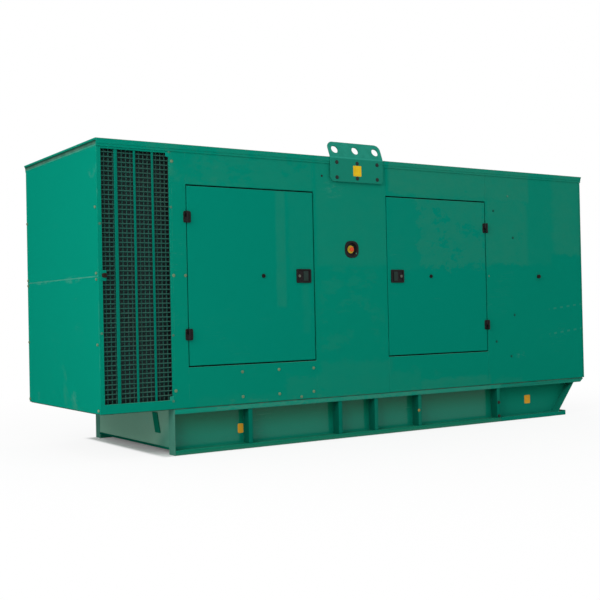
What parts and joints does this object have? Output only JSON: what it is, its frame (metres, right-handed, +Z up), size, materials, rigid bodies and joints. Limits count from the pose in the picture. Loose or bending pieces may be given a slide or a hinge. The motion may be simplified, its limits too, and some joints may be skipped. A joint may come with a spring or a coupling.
{
  "type": "diesel generator set",
  "caption": "Sound-attenuated diesel generator set: green sheet-steel enclosure with hinged side doors, an air-outlet grille and folded lifting brackets on a bolted steel base frame.",
  "frame": {"origin": "on the floor under the middle of the roof, at the centre of the bounding box's bottom", "axes": "+X along the set from the air-outlet end to the plain end, -Y to the front side, +Z up"},
  "size_m": [5.11, 1.601, 2.4704],
  "materials": {
    "enclosure_paint": "satin green powder coat on sheet steel, faint orange peel and light handling marks",
    "roof_paint": "satin green powder coat with settled dust",
    "base_paint": "satin green paint on welded steel, dusty near the floor",
    "deck_paint": "dull green paint",
    "bracket_paint": "satin green paint on thick folded plate",
    "wire_mesh": "green coated square wire mesh",
    "black_fitting": "textured black die cast and moulded fittings",
    "black_bezel": "black moulded bezel with a yellow disc",
    "red_button": "glossy red moulded mushroom",
    "rubber_seal": "black bulb seal on a steel bar",
    "acoustic_foam": "charcoal acoustic foam"
  },
  "bodies": {
    "root": {"front_base_rail": "base_paint", "back_base_rail": "base_paint", "front_base_extension": "base_paint", "back_base_extension": "base_paint", "base_stiffeners": "base_paint", "base_end_plates": "base_paint", "base_cover_strip": "base_paint", "base_cross_members": "base_paint", "floor_deck": "deck_paint", "front_grille_frame": "enclosure_paint", "front_grille_mesh": "wire_mesh", "front_door_jamb": "enclosure_paint", "front_door_headers": "enclosure_paint", "front_door_sills": "enclosure_paint", "front_middle_panel": "enclosure_paint", "front_right_panel": "enclosure_paint", "front_door_stops": "rubber_seal", "front_hinge_brackets": "black_fitting", "back_grille_frame": "enclosure_paint", "back_grille_mesh": "wire_mesh", "back_door_jamb": "enclosure_paint", "back_door_headers": "enclosure_paint", "back_door_sills": "enclosure_paint", "back_middle_panel": "enclosure_paint", "back_right_panel": "enclosure_paint", "back_door_stops": "rubber_seal", "back_hinge_brackets": "black_fitting", "door_catches": "black_fitting", "grille_baffles": "acoustic_foam", "left_end_upper": "enclosure_paint", "left_end_lower": "enclosure_paint", "right_end_upper": "enclosure_paint", "right_end_lower": "enclosure_paint", "roof": "roof_paint", "front_lifting_bracket": "bracket_paint", "back_lifting_bracket": "bracket_paint", "emergency_stop_housing": "black_bezel"},
    "front_door_1": {"front_door_1": "enclosure_paint", "front_door_1_fittings": "black_fitting"},
    "front_door_2": {"front_door_2": "enclosure_paint", "front_door_2_fittings": "black_fitting"},
    "back_door_1": {"back_door_1": "enclosure_paint", "back_door_1_fittings": "black_fitting"},
    "back_door_2": {"back_door_2": "enclosure_paint", "back_door_2_fittings": "black_fitting"},
    "emergency_stop_button": {"emergency_stop_button": "red_button"}
  },
  "joints": [
    {"name": "front_door_1_hinge", "type": "hinge", "parent": "root", "child": "front_door_1", "pos_m": [-1.8305, -0.7915, 1.347], "axis": [0, 0, -1], "range_deg": [0, 180]},
    {"name": "front_door_2_hinge", "type": "hinge", "parent": "root", "child": "front_door_2", "pos_m": [1.2505, -0.7915, 1.347], "axis": [0, 0, 1], "range_deg": [0, 180]},
    {"name": "back_door_1_hinge", "type": "hinge", "parent": "root", "child": "back_door_1", "pos_m": [-1.8305, 0.7915, 1.347], "axis": [0, 0, 1], "range_deg": [0, 180]},
    {"name": "back_door_2_hinge", "type": "hinge", "parent": "root", "child": "back_door_2", "pos_m": [1.2505, 0.7915, 1.347], "axis": [0, 0, -1], "range_deg": [0, 180]},
    {"name": "emergency_stop_press", "type": "slide", "parent": "root", "child": "emergency_stop_button", "axis": [0, 1, 0], "range_m": [0, 0.006]}
  ]
}
